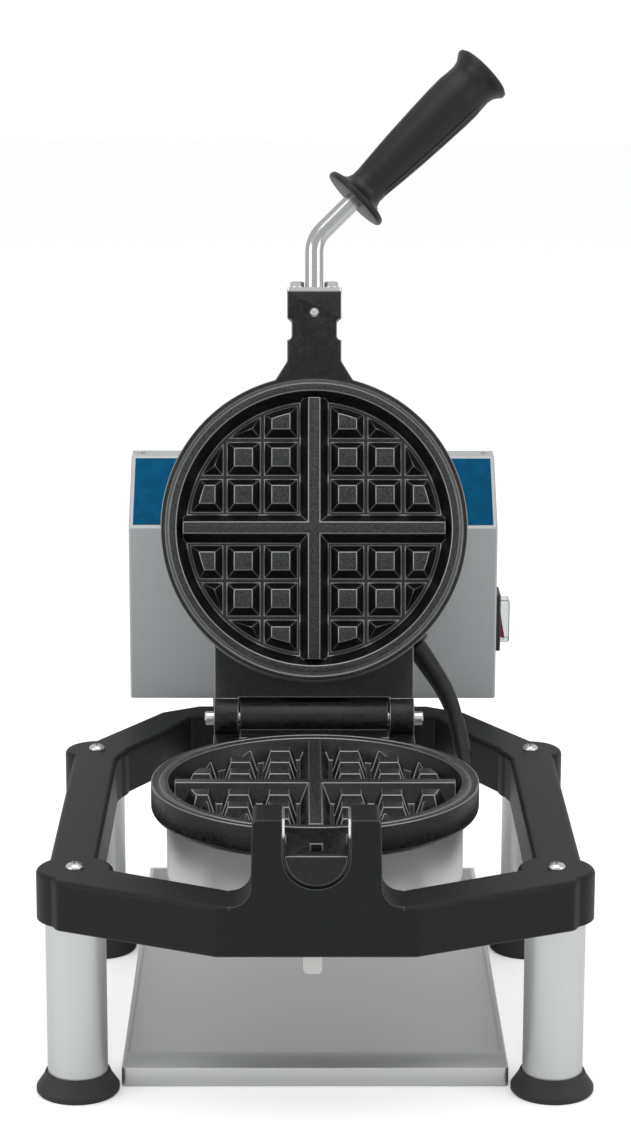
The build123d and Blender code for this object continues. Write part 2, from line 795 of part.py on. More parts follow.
def make_handle():
    turn = math.radians(grip_angle)
    reach = guard_reach + tube_in_grip
    depth_face = on_face(upper_face, 0, 0, -neck_mid)
    corner = (0, -bend_reach)
    grip_way = (-math.sin(turn), -math.cos(turn))
    tube_end = (grip_way[0] * reach, -bend_reach + grip_way[1] * reach)
    with BuildPart() as tube:
        with BuildLine(depth_face) as path:
            FilletPolyline((0, -end_y), corner, tube_end, radius=tube_bend)
        with BuildSketch(Plane(path.line @ 0, z_dir=path.line % 0)):
            Circle(tube_radius)
            Circle(tube_radius - tube_wall, mode=Mode.SUBTRACT)
        sweep()
    save(tube, "handle_tube")
    out = (depth_face.x_dir * grip_way[0] + depth_face.y_dir * grip_way[1]).normalized()
    guard = depth_face.origin - depth_face.y_dir * bend_reach + out * (guard_reach - guard_thick / 2)
    grip_axis = Axis(guard, out)
    with BuildPart() as grip:
        with BuildSketch(Plane(guard, x_dir=depth_face.z_dir, z_dir=depth_face.z_dir.cross(out))):
            with BuildLine():
                Polyline(
                    (0, grip_length),
                    (0, 0),
                    (guard_radius - 1.5, 0),
                    (guard_radius, 1.5),
                    (guard_radius, guard_thick - 1.5),
                    (guard_radius - 1.5, guard_thick),
                    (grip_waist + 2, guard_thick + 2),
                )
                Spline(
                    (grip_waist + 2, guard_thick + 2),
                    (grip_waist + 0.8, guard_thick + 12),
                    (grip_belly - 1.5, grip_length * 0.62),
                    (grip_belly, grip_length * 0.86),
                )
                Spline(
                    (grip_belly, grip_length * 0.86),
                    (grip_flare - 1, grip_length * 0.93),
                    (grip_flare, grip_length * 0.965),
                    (grip_flare - 4, grip_length),
                )
                Line((grip_flare - 4, grip_length), (0, grip_length))
            make_face()
        revolve(axis=grip_axis)
        with BuildSketch(Plane(guard, z_dir=out)):
            Circle(tube_radius)
        extrude(amount=tube_in_grip + guard_thick / 2, mode=Mode.SUBTRACT)
    save(grip, "handle_grip")


make_neck_fittings()
make_handle()


# Lead hose between the two heater drums: its route, counted from the legs' middle
def gland_mouth(face, angle):
    return radial(face, angle, drum_radius + gland_length, gland_down)


hose_top = gland_mouth(upper_face, upper_gland_angle)
hose_bottom = gland_mouth(lower_face, lower_gland_angle)
hose_straight = 14.0
hose_route = [
    (92.0, 121.0, 176.0),
    (98.0, 107.0, 150.0),
    (99.0, 84.0, 133.0),
    (97.0, 58.0, 127.0),
]


def make_lead_hose():
    points = [hose_top.origin, hose_top.origin + hose_top.z_dir * hose_straight]
    points += [Vector(x, y + legs_y, z) for x, y, z in hose_route]
    points += [hose_bottom.origin + hose_bottom.z_dir * hose_straight, hose_bottom.origin]
    radii = []
    for before, here, after in zip(points, points[1:], points[2:]):
        into, out = here - before, after - here
        turn = math.radians(into.get_angle(out))
        radii.append(0.45 * min(into.length, out.length) / math.tan(turn / 2))
    with BuildPart() as hose:
        with BuildLine() as path:
            FilletPolyline(*points, radius=radii)
        with BuildSketch(Plane(path.line @ 0, z_dir=path.line % 0)):
            Circle(hose_radius)
        sweep()
    length = sum(edge.length for edge in path.line.edges())
    print("hose length", round(length, 1), "radii", [round(radius, 1) for radius in radii])
    print("hose volume over section by length", hose.part.volume / (math.pi * hose_radius**2 * length))
    save(hose, "lead_hose")


make_lead_hose()


# Control box: folded steel shell with a sloped panel, on a bracket behind the ring
box_y = legs_y + box_front
panel_run = math.hypot(slope_run, box_top - box_fold)
panel_plane = Plane(
    (0, box_y + slope_run / 2, (box_fold + box_top) / 2),
    x_dir=(1, 0, 0),
    z_dir=(0, box_fold - box_top, slope_run),
)
box_fold_round = 1.5
corner_block = 8.0
button_x = (44.0, 62.0, 80.0)
button_radius = 5.0
button_gap = 0.3
button_rise = 2.2
button_travel = 1.5
window_size = (52.0, 22.0)
window_x = -10.0
window_thick = 1.0
window_gap = 0.2
lamp_places = ((-52.0, 8.0), (-52.0, -8.0))
lamp_radius = 2.5
board_depth = 12.0
board_size = (180.0, 46.0, 1.6)
tact_height = 5.0
post_radius = 3.0
panel_screw_x = box_width / 2 - 6.5
panel_screw_head = 2.6
panel_screw_radius = 1.5
switch_y = box_y + 21.0
switch_z = 197.0
bezel_size = (26.0, 41.0, 3.5)
switch_body = (21.6, 36.6, 20.0)
rocker_width = 14.0
rocker_half = 12.4
rocker_pin = 1.2
rocker_pin_out = 1.5
rocker_out = 5.5
rocker_low = 1.5
rocker_pivot = 1.5  # outside the box's side
cover_wall = 0.8
cover_out = 10.1
gland_place = (-80.0, 172.0)
gland_nut = 11.0
gland_screw = 8.0
mains_bore = 4.5
under_screw_y = box_y + 30.0


def make_box():
    side = box_width / 2
    back_y = box_y + box_depth - sheet
    corners = [
        (x, z) for x in (-side + back_lap, side - back_lap)
        for z in (box_bottom + back_lap, box_top - 3 * back_lap)
    ]
    profile = [
        (box_y, box_bottom),
        (box_y, box_fold),
        (box_y + slope_run, box_top),
        (box_y + box_depth - sheet, box_top),
        (box_y + box_depth - sheet, box_bottom),
    ]
    with BuildPart() as shell:
        with BuildSketch(Plane.YZ.offset(-side)):
            Polygon(*profile, align=None)
        extrude(amount=box_width)
        folds = [edge for edge in shell.edges() if edge.center().Y < box_y + box_depth - 2 * sheet]
        fillet(folds, radius=box_fold_round)
        offset(amount=-sheet, openings=shell.faces().sort_by(Axis.Y)[-1])
        with BuildSketch(facing_front(back_y)):
            with Locations(*corners):
                Rectangle(2 * (back_lap - sheet), 2 * (back_lap - sheet))
                Circle(panel_screw_radius, mode=Mode.SUBTRACT)
        extrude(amount=corner_block)
        with BuildSketch(panel_plane):
            with Locations(*[(x, 0) for x in button_x]):
                Circle(button_radius + button_gap)
        extrude(amount=-3 * sheet, mode=Mode.SUBTRACT)
        with BuildSketch(Plane.YZ.offset(side)):
            with Locations((switch_y, switch_z)):
                Rectangle(switch_body[0], switch_body[1])
        extrude(amount=-3 * sheet, mode=Mode.SUBTRACT)
        screw_y = box_y + slope_run + top_run / 2
        with Locations(*[(x, screw_y, box_top) for x in (-panel_screw_x, panel_screw_x)]):
            Hole(radius=panel_screw_radius, depth=3 * sheet)
        with Locations(*[(x, under_screw_y, box_bottom + sheet) for x in bracket_x]):
            Hole(radius=bracket_screw, depth=2 * sheet)
    save(shell, "box_shell")
    with BuildPart() as screws:
        for x in (-panel_screw_x, panel_screw_x):
            with BuildSketch(Plane.XY.offset(box_top)):
                with Locations((x, screw_y)):
                    Circle(panel_screw_head)
            extrude(amount=1.4)
            with BuildSketch(Plane.XY.offset(box_top)):
                with Locations((x, screw_y)):
                    Circle(panel_screw_radius)
            extrude(amount=-7)
    save(screws, "panel_screws")
    with BuildPart() as back:
        with BuildSketch(facing_front(back_y)):
            with Locations((0, (box_bottom + box_top) / 2)):
                Rectangle(box_width, box_top - box_bottom)
            with Locations(gland_place):
                Circle(gland_screw, mode=Mode.SUBTRACT)
            with Locations(*corners):
                Circle(panel_screw_radius, mode=Mode.SUBTRACT)
        extrude(amount=-sheet)
    save(back, "box_back")
    with BuildPart() as back_screws:
        with BuildSketch(facing_front(back_y + sheet)):
            with Locations(*corners):
                Circle(panel_screw_head)
        extrude(amount=-1.4)
        with BuildSketch(facing_front(back_y + sheet)):
            with Locations(*corners):
                Circle(panel_screw_radius)
        extrude(amount=sheet + corner_block - 1)
    save(back_screws, "back_screws")
    with BuildPart() as gland:
        with BuildSketch(facing_front(back_y + sheet)):
            with Locations(gland_place):
                RegularPolygon(gland_nut, 6, major_radius=False)
        extrude(amount=-gland_reach * 0.45)
        with BuildSketch(facing_front(back_y + sheet)):
            with Locations(gland_place):
                Circle(gland_screw)
        extrude(amount=-gland_reach)
        with BuildSketch(facing_front(back_y + sheet)):
            with Locations(gland_place):
                Circle(gland_screw)
        extrude(amount=8)
        with BuildSketch(facing_front(back_y + sheet - 8)):
            with Locations(gland_place):
                Circle(mains_bore)
        extrude(amount=-(gland_reach + 8), mode=Mode.SUBTRACT)
    save(gland, "cable_gland")


def make_panel():
    with BuildPart() as label:
        with BuildSketch(panel_plane):
            Rectangle(box_width - 2 * label_inset, panel_run - 2 * label_inset)
            with Locations(*[(x, 0) for x in button_x]):
                Circle(button_radius + button_gap, mode=Mode.SUBTRACT)
            with Locations((window_x, 0)):
                Rectangle(*window_size, mode=Mode.SUBTRACT)
            with Locations(*lamp_places):
                Circle(lamp_radius, mode=Mode.SUBTRACT)
        extrude(amount=label_thick)
    save(label, "panel_label")
    with BuildPart() as window:
        with BuildSketch(panel_plane):
            with Locations((window_x, 0)):
                Rectangle(window_size[0] - window_gap, window_size[1] - window_gap)
        extrude(amount=window_thick)
    save(window, "display_window")
    with BuildPart() as lamps:
        with BuildSketch(panel_plane):
            with Locations(*lamp_places):
                Circle(lamp_radius)
        extrude(amount=label_thick + 1.2)
    save(lamps, "indicator_lamps")
    button_foot = board_depth - board_size[2] - tact_height - button_travel - 2 * button_gap
    for name, x in zip(("start_button", "plus_button", "minus_button"), button_x):
        with BuildPart() as button:
            with BuildSketch(panel_plane.offset(-button_foot)):
                with Locations((x, 0)):
                    Circle(button_radius)
            extrude(amount=button_foot + label_thick + button_rise)
            fillet(button.edges().sort_by(Axis(panel_plane.origin, panel_plane.z_dir))[-1], radius=0.8)
        save(button, name)
    post_x, post_y = board_size[0] / 2 - 5, board_size[1] / 2 - 5
    posts = [(x, y) for x in (-post_x, post_x) for y in (-post_y, post_y)]
    with BuildPart() as board:
        with BuildSketch(panel_plane.offset(-board_depth)):
            Rectangle(board_size[0], board_size[1])
        extrude(amount=board_size[2])
        with BuildSketch(panel_plane.offset(-board_depth + board_size[2])):
            with Locations(*[(x, 0) for x in button_x]):
                Rectangle(6, 6)
        extrude(amount=tact_height)
        with BuildSketch(panel_plane.offset(-board_depth)):
            with Locations(*posts):
                Circle(post_radius)
        extrude(amount=board_depth - sheet)
    save(board, "timer_board")


def make_switch():
    side = box_width / 2
    with BuildPart() as bezel:
        with BuildSketch(Plane.YZ.offset(side)):
            with Locations((switch_y, switch_z)):
                RectangleRounded(bezel_size[0], bezel_size[1], 2)
        extrude(amount=bezel_size[2])
        fillet(bezel.edges().group_by(Axis.X)[-1], radius=1)
        with BuildSketch(Plane.YZ.offset(side)):
            with Locations((switch_y, switch_z)):
                Rectangle(switch_body[0] - 0.2, switch_body[1] - 0.2)
        extrude(amount=-switch_body[2])
        with BuildSketch(Plane.YZ.offset(side + bezel_size[2])):
            with Locations((switch_y, switch_z)):
                Rectangle(rocker_width + 0.6, 2 * (rocker_half + 1.8))
        extrude(amount=-bezel_size[2] - 8, mode=Mode.SUBTRACT)
        with BuildSketch(facing_front(switch_y - rocker_width / 2 - rocker_pin_out - run_gap)):
            with Locations((side + rocker_pivot, switch_z)):
                Circle(rocker_pin + run_gap)
        extrude(amount=-(rocker_width + 2 * rocker_pin_out + 2 * run_gap), mode=Mode.SUBTRACT)
    save(bezel, "switch_bezel")
    with BuildPart() as rocker:
        with BuildSketch(facing_front(switch_y - rocker_width / 2)):
            with BuildLine():
                Polyline(
                    (side + rocker_pivot - 2.5, switch_z - rocker_half + 2),
                    (side + rocker_pivot + rocker_out, switch_z - rocker_half),
                    (side + rocker_pivot + 3.2, switch_z),
                    (side + rocker_pivot + rocker_low, switch_z + rocker_half),
                    (side + rocker_pivot - 4.5, switch_z + rocker_half - 3),
                    (side + rocker_pivot - 4.5, switch_z - 2),
                    close=True,
                )
            make_face()
        extrude(amount=-rocker_width)
        with BuildSketch(facing_front(switch_y - rocker_width / 2 - rocker_pin_out)):
            with Locations((side + rocker_pivot, switch_z)):
                Circle(rocker_pin)
        extrude(amount=-(rocker_width + 2 * rocker_pin_out))
    save(rocker, "switch_rocker")
    with BuildPart() as cover:
        with BuildSketch(Plane.YZ.offset(side + bezel_size[2])):
            with Locations((switch_y, switch_z)):
                RectangleRounded(
                    rocker_width + 2 + 2 * cover_wall, 2 * (rocker_half + 1.8 + cover_wall), 2
                )
        extrude(amount=cover_out - bezel_size[2])
        fillet(cover.edges().group_by(Axis.X)[-1], radius=1.6)
        with BuildSketch(Plane.YZ.offset(side + bezel_size[2])):
            with Locations((switch_y, switch_z)):
                RectangleRounded(rocker_width + 2, 2 * (rocker_half + 1.8), 1.2)
        extrude(amount=cover_out - bezel_size[2] - cover_wall, mode=Mode.SUBTRACT)
    save(cover, "switch_cover")


def make_bracket():
    profile = [
        (rear_y, frame_bottom + 2),
        (rear_y + bracket_thick, frame_bottom + 2),
        (rear_y + bracket_thick, box_bottom - bracket_thick),
        (box_y + box_depth - 12, box_bottom - bracket_thick),
        (box_y + box_depth - 12, box_bottom),
        (rear_y, box_bottom),
    ]
    with BuildPart() as bracket:
        with BuildSketch(Plane.YZ.offset(-bracket_half)):
            Polygon(*profile, align=None)
        extrude(amount=2 * bracket_half)
        with Locations(*[Plane((x, rear_y, bracket_z), z_dir=(0, -1, 0)) for x in bracket_x]):
            Hole(radius=bracket_screw, depth=2 * bracket_thick)
        with Locations(*[(x, under_screw_y, box_bottom) for x in bracket_x]):
            Hole(radius=bracket_screw, depth=2 * bracket_thick)
    save(bracket, "box_bracket")
    with BuildPart() as screws:
        for x in bracket_x:
            with BuildSketch(facing_front(rear_y + bracket_thick)):
                with Locations((x, bracket_z)):
                    RegularPolygon(5, 6, major_radius=False)
            extrude(amount=-4)
            with BuildSketch(facing_front(rear_y + bracket_thick)):
                with Locations((x, bracket_z)):
                    Circle(bracket_screw)
            extrude(amount=bracket_thick + bracket_screw_depth - 1)
            with BuildSketch(Plane.XY.offset(box_bottom - bracket_thick)):
                with Locations((x, under_screw_y)):
                    RegularPolygon(5, 6, major_radius=False)
            extrude(amount=-4)
            with BuildSketch(Plane.XY.offset(box_bottom - bracket_thick)):
                with Locations((x, under_screw_y)):
                    Circle(bracket_screw)
            extrude(amount=bracket_thick + 8)
    save(screws, "bracket_screws")


def make_box_internals():
    floor = Plane.XY.offset(box_bottom + sheet)
    with BuildPart() as relay:
        with BuildSketch(floor):
            with Locations((20, box_y + 45)):
                Rectangle(30, 22)
        extrude(amount=26)
    save(relay, "power_relay")
    with BuildPart() as block:
        with BuildSketch(floor):
            with Locations((-40, box_y + 48)):
                Rectangle(52, 16)
        extrude(amount=14)
        with Locations(*[(-40 + 10 * step, box_y + 48, box_bottom + sheet + 14) for step in range(-2, 3)]):
            Hole(radius=2.2, depth=6)
    save(block, "terminal_block")


make_box()
make_panel()
make_switch()
make_bracket()
make_box_internals()


# Drip tray: folded sheet with hemmed sides and a front grip flange, on the counter
def make_drip_tray():
    front = legs_y - tray_front
    depth = tray_front + tray_rear
    middle = front + depth / 2
    with BuildPart() as tray:
        with BuildSketch(Plane.XY):
            with Locations((0, middle)):
                Rectangle(tray_width, depth)
        extrude(amount=tray_height)
        fillet(tray.edges().filter_by(Axis.Z).group_by(Axis.Y)[0], radius=3)
        with BuildSketch(Plane.XY.offset(tray_sheet)):
            with Locations((0, middle)):
                Rectangle(tray_width - 2 * tray_hem, depth - 2 * tray_hem)
        extrude(amount=tray_height, mode=Mode.SUBTRACT)
        with BuildSketch(Plane.XY.offset(tray_height - tray_sheet)):
            with Locations((0, front + (tray_grip + tray_hem) / 2)):
                Rectangle(tray_width - 2 * tray_hem, tray_grip - tray_hem)
        extrude(amount=tray_sheet)
    save(tray, "drip_tray")


make_drip_tray()
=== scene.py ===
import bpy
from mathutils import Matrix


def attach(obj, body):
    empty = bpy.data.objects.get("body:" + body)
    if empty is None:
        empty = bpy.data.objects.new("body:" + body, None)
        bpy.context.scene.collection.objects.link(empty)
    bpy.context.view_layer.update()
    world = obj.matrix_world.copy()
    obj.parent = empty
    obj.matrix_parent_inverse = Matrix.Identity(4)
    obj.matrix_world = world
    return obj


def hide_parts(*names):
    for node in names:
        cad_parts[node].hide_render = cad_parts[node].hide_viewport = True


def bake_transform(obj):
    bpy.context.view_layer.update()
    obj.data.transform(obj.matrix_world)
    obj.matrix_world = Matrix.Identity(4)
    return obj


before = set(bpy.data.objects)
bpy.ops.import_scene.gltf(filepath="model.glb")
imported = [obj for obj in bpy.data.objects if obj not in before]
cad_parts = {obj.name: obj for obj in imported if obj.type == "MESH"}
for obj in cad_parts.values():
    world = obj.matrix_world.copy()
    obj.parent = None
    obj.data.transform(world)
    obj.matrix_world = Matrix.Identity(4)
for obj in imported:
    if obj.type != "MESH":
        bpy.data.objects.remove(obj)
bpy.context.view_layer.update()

import math

import bmesh
import bpy
from mathutils import Matrix, Vector

# Feet: black nitrile rubber, moulded as cones and pushed into the leg tubes.
# The rubber is dull, a little paler than the paint of the ring above it.
MM = 0.001


def linear(hex_colour):
    """An sRGB hex colour as the linear RGBA that shaders read."""
    parts = [int(hex_colour[i:i + 2], 16) / 255 for i in (1, 3, 5)]
    return [p / 12.92 if p <= 0.04045 else ((p + 0.055) / 1.055) ** 2.4 for p in parts] + [1.0]


def add_node(tree, kind, settings=None, links=None):
    """Adds a node, sets its properties or sockets by name, and links its inputs."""
    node = tree.nodes.new(kind)
    for name, value in (settings or {}).items():
        if isinstance(name, str) and hasattr(node, name):
            setattr(node, name, value)
        else:
            node.inputs[name].default_value = value
    for name, source in (links or {}).items():
        tree.links.new(source, node.inputs[name])
    return node


def shader_of(material):
    return material.node_tree.nodes["Principled BSDF"]


def new_finish(name, colour, roughness, metallic=0.0, **sockets):
    """A plain material of that colour; each section adds the patterns that it needs."""
    material = bpy.data.materials.new(name)
    material.use_nodes = True
    shader = shader_of(material)
    shader.inputs["Base Color"].default_value = linear(colour)
    shader.inputs["Roughness"].default_value = roughness
    shader.inputs["Metallic"].default_value = metallic
    for socket, value in sockets.items():
        shader.inputs[socket.replace("_", " ")].default_value = value
    return material


def grain(material, size_mm, height_mm, stretch=(1, 1, 1), detail=3.0):
    """A relief of noise of that size and height, packed closer along X, Y and Z by stretch."""
    tree = material.node_tree
    place = add_node(tree, "ShaderNodeTexCoord")
    drawn = add_node(tree, "ShaderNodeMapping", {"Scale": stretch},
                     {"Vector": place.outputs["Object"]})
    noise = add_node(tree, "ShaderNodeTexNoise",
                     {"Scale": 1 / (size_mm * MM), "Detail": detail},
                     {"Vector": drawn.outputs["Vector"]})
    relief = add_node(tree, "ShaderNodeBump", {"Strength": 1.0, "Distance": height_mm * MM},
                      {"Height": noise.outputs[0]})
    tree.links.new(relief.outputs["Normal"], shader_of(material).inputs["Normal"])


def give(material, *nodes):
    """Those pieces of the CAD are shown in that material."""
    for name in nodes:
        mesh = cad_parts[name].data
        mesh.materials.clear()
        mesh.materials.append(material)


rubber = new_finish("moulded_nitrile_rubber", "#1b1c1c", 0.62)
grain(rubber, 1.5, 0.03)
give(rubber, "foot_front_left", "foot_front_right", "foot_rear_left", "foot_rear_right")

# Legs: drawn stainless tube with a satin finish ground round the tube, so the light
# stands on it in soft upright bands. Nut plugs pressed inside take the frame screws.
satin_tube = new_finish("satin_stainless_tube", "#c4c6c6", 0.36, 1.0)
grain(satin_tube, 1.2, 0.012, stretch=(0.15, 0.15, 3.0))
give(satin_tube, "leg_front_left", "leg_front_right", "leg_rear_left", "leg_rear_right")

zinc = new_finish("zinc_plated_steel", "#c8c9c7", 0.28, 1.0)
grain(zinc, 1.0, 0.01)
give(zinc, "leg_inserts", "cap_screws", "stop_screw", "bracket_screws", "back_screws",
     "panel_screws", "lower_drum_nut", "upper_drum_nut", "neck_bolts", "hinge_pin",
     "rear_shaft", "shaft_collar", "neck_end_plate", "roll_pin")

# Frame screws: pan heads with a cross recess, one through each leg boss into its plug.
# Zinc-plated steel; the recess is pressed in, so the CAD's plain heads are replaced.
HEAD_RADIUS, HEAD_HEIGHT, RECESS_WIDTH = 5.5, 3.0, 1.1
HEAD_FLATNESS = 0.56  # height of the dome to its radius
SCREW_TOP = 143.2
SCREW_PLACES = [(-142.0, -184.65), (142.0, -184.65), (-144.5, 61.15), (144.5, 61.15)]


def make_screw_tree():
    """A node tree that sets one cross-recessed head on each point."""
    tree = bpy.data.node_groups.new("pan_head_screws", "GeometryNodeTree")
    for label, kind in (("Points", "Geometry"), ("Head radius", "Float"),
                        ("Head height", "Float"), ("Slot width", "Float"),
                        ("Finish", "Material")):
        tree.interface.new_socket(label, in_out="INPUT", socket_type="NodeSocket" + kind)
    tree.interface.new_socket("Screws", in_out="OUTPUT", socket_type="NodeSocketGeometry")
    given = add_node(tree, "NodeGroupInput").outputs
    radius, height, width = given["Head radius"], given["Head height"], given["Slot width"]
    ball = add_node(tree, "GeometryNodeMeshUVSphere", {"Segments": 48, "Rings": 24},
                    {"Radius": radius})
    flat = add_node(tree, "ShaderNodeCombineXYZ", {0: 1.0, 1: 1.0, 2: HEAD_FLATNESS})
    dome = add_node(tree, "GeometryNodeTransform", None,
                    {"Geometry": ball.outputs["Mesh"], "Scale": flat.outputs[0]})
    cut = add_node(tree, "GeometryNodeMeshBoolean",
                   {"operation": "DIFFERENCE", "solver": "EXACT"},
                   {"Mesh 1": dome.outputs["Geometry"]})
    for along_x, along_y in ((radius, width), (width, radius)):
        size = add_node(tree, "ShaderNodeCombineXYZ", None, {0: along_x, 1: along_y, 2: height})
        bar = add_node(tree, "GeometryNodeMeshCube", None, {"Size": size.outputs[0]})
        up = add_node(tree, "ShaderNodeCombineXYZ", None, {2: height})
        arm = add_node(tree, "GeometryNodeTransform", None,
                       {"Geometry": bar.outputs["Mesh"], "Translation": up.outputs[0]})
        tree.links.new(arm.outputs["Geometry"], cut.inputs["Mesh 2"])
    spread = add_node(tree, "GeometryNodeInstanceOnPoints", None,
                      {"Points": given["Points"], "Instance": cut.outputs["Mesh"]})
    real = add_node(tree, "GeometryNodeRealizeInstances", None, {"Geometry": spread.outputs[0]})
    dressed = add_node(tree, "GeometryNodeSetMaterial", None,
                       {"Geometry": real.outputs[0], "Material": given["Finish"]})
    add_node(tree, "NodeGroupOutput", None, {"Screws": dressed.outputs[0]})
    return tree


def new_object(name, vertices=(), faces=(), mesh=None):
    """A mesh object in the scene; give it vertices and faces in metres, or a mesh."""
    if mesh is None:
        mesh = bpy.data.meshes.new(name)
        mesh.from_pydata([tuple(v) for v in vertices], [], [tuple(f) for f in faces])
    piece = bpy.data.objects.new(name, mesh)
    bpy.context.scene.collection.objects.link(piece)
    return piece


def settle(piece, smooth_angle=35.0):
    """Turns the modifiers' result into the piece's own mesh, smooth up to that angle."""
    seen = piece.evaluated_get(bpy.context.evaluated_depsgraph_get())
    mesh = bpy.data.meshes.new_from_object(seen)
    piece.modifiers.clear()
    piece.data = mesh
    mesh.shade_smooth()
    mesh.set_sharp_from_angle(angle=math.radians(smooth_angle))
    return piece


def grow(piece, tree, inputs):
    """Runs a Geometry Nodes tree on the piece with these named inputs."""
    run = piece.modifiers.new(tree.name, "NODES")
    run.node_group = tree
    sockets = {item.name: item.identifier for item in tree.interface.items_tree
               if item.item_type == "SOCKET" and item.in_out == "INPUT"}
    for name, value in inputs.items():
        run[sockets[name]] = value
    return settle(piece)


frame_heads = new_object("frame_screw_heads", [(x * MM, y * MM, (SCREW_TOP - HEAD_HEIGHT) * MM)
                                               for x, y in SCREW_PLACES])
grow(frame_heads, make_screw_tree(), {
    "Head radius": HEAD_RADIUS * MM, "Head height": HEAD_HEIGHT * MM,
    "Slot width": RECESS_WIDTH * MM, "Finish": zinc})
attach(frame_heads, "frame")
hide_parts("frame_screws")

# Frame ring and bearing cap: cast, shot-blasted and painted matt black. The edges, inner corners
# too, are coloured pale and smoother: rubbed paint and a painted highlight; a fine orange peel
# shows in grazing light.
# The second colour is the pale edge: rubbed paint and a painted highlight.
PAINT_BLACK, PAINT_RUBBED_AND_LIT = "#0e1011", "#5a5d5d"
PAINT_ROUGHNESS, RUBBED_ROUGHNESS = 0.5, 0.35
PAINT_ROUND = 1.1
CAP_ROUND = 0.8
WELD = 0.002  # vertices closer than this are one
FLAT = math.radians(0.5)  # faces that meet at less than this are one
EDGE = math.radians(30.0)  # faces that meet at more than this have an edge


def mix_colours(tree, share, first, second):
    """The colour between two hex colours or sockets, by a share from 0 to 1."""
    mix = add_node(tree, "ShaderNodeMix", {"data_type": "RGBA"}, {0: share})
    for socket, colour in ((mix.inputs[6], first), (mix.inputs[7], second)):
        if isinstance(colour, str):
            socket.default_value = linear(colour)
        else:
            tree.links.new(colour, socket)
    return mix.outputs[2]


def wear_and_light_edges(material, width_mm, colour, worn_and_lit_colour, roughness, worn_roughness):
    """Edges look rounded over that width and take a paler, smoother skin: rubbed paint and a
    painted highlight, on inner corners as well as outer ones.
    """
    tree, shader = material.node_tree, shader_of(material)
    rounded = add_node(tree, "ShaderNodeBevel", {"samples": 4, "Radius": width_mm * MM})
    relief = shader.inputs["Normal"].links[0].from_node
    tree.links.new(rounded.outputs["Normal"], relief.inputs["Normal"])
    face = add_node(tree, "ShaderNodeNewGeometry")
    along = add_node(tree, "ShaderNodeVectorMath", {"operation": "DOT_PRODUCT"},
                     {0: rounded.outputs["Normal"], 1: face.outputs["Normal"]})
    edge = add_node(tree, "ShaderNodeMapRange", {"From Min": 0.995, "From Max": 0.86},
                    {0: along.outputs["Value"]}).outputs[0]
    tree.links.new(mix_colours(tree, edge, colour, worn_and_lit_colour), shader.inputs["Base Color"])
    gloss = add_node(tree, "ShaderNodeMapRange", {"To Min": roughness, "To Max": worn_roughness},
                     {0: edge})
    tree.links.new(gloss.outputs[0], shader.inputs["Roughness"])


def softened(node, edge_mm, body, slot_name, *finishes):
    """Replaces a CAD piece by a copy with rounded edges, which take the last finish."""
    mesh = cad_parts[node].data.copy()
    shape = bmesh.new()
    shape.from_mesh(mesh)
    bmesh.ops.remove_doubles(shape, verts=shape.verts, dist=WELD * MM)
    bmesh.ops.dissolve_limit(shape, angle_limit=FLAT, verts=shape.verts, edges=shape.edges)
    shape.to_mesh(mesh)
    shape.free()
    mesh.materials.clear()
    for finish in finishes:
        mesh.materials.append(finish)
    mesh.polygons.foreach_set("material_index", [0] * len(mesh.polygons))
    piece = new_object(node + "_softened", mesh=mesh)
    bevel = piece.modifiers.new("edges", "BEVEL")
    bevel.width = edge_mm * MM
    bevel.segments = 2
    bevel.limit_method = "ANGLE"
    bevel.angle_limit = EDGE
    bevel.use_clamp_overlap = False
    bevel.material = len(finishes) - 1
    settle(piece, 40.0)
    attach(piece, body)
    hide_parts(node)


paint = new_finish("matt_black_paint_on_casting", PAINT_BLACK, PAINT_ROUGHNESS,
                   Specular_IOR_Level=0.22)
grain(paint, 1.6, 0.05, detail=4.0)
wear_and_light_edges(paint, PAINT_ROUND, PAINT_BLACK, PAINT_RUBBED_AND_LIT, PAINT_ROUGHNESS, RUBBED_ROUGHNESS)
give(paint, "frame_ring")
softened("bearing_cap", CAP_ROUND, "frame", "frame_paint", paint)

# Cradle liner: a strip of spring steel bent into the U of the cradle, on which the necks turn. It
# is blued dark, and near white over its top 3 mm, at its two ends.
LINER_BLUED, LINER_BRIGHT = "#3c3f40", "#f2f3f2"
LINER_BRIGHT_FROM, LINER_BRIGHT_FULL = 179.5, 182.5  # heights over the counter

spring_strip = new_finish("blued_spring_steel", LINER_BLUED, 0.3, 1.0)
strip_tree = spring_strip.node_tree
strip_place = add_node(strip_tree, "ShaderNodeTexCoord")
strip_height = add_node(strip_tree, "ShaderNodeSeparateXYZ", None,
                        {0: strip_place.outputs["Object"]})
strip_ends = add_node(strip_tree, "ShaderNodeMapRange",
                      {"From Min": LINER_BRIGHT_FROM * MM, "From Max": LINER_BRIGHT_FULL * MM},
                      {0: strip_height.outputs["Z"]})
strip_tree.links.new(mix_colours(strip_tree, strip_ends.outputs[0], LINER_BLUED, LINER_BRIGHT),
                     shader_of(spring_strip).inputs["Base Color"])
give(spring_strip, "cradle_liner")

# Turn stop and box bracket: bent from pale satin stainless strip and screwed to the ring.
# The rear bush is turned from bronze and pressed under the bearing cap.
pale_strip = new_finish("satin_stainless_tab", "#bfc0be", 0.5, 1.0)
give(pale_strip, "turn_stop_tab", "box_bracket")
bronze = new_finish("oiled_bronze_bush", "#8d6b3c", 0.3, 1.0)
give(bronze, "rear_bush")
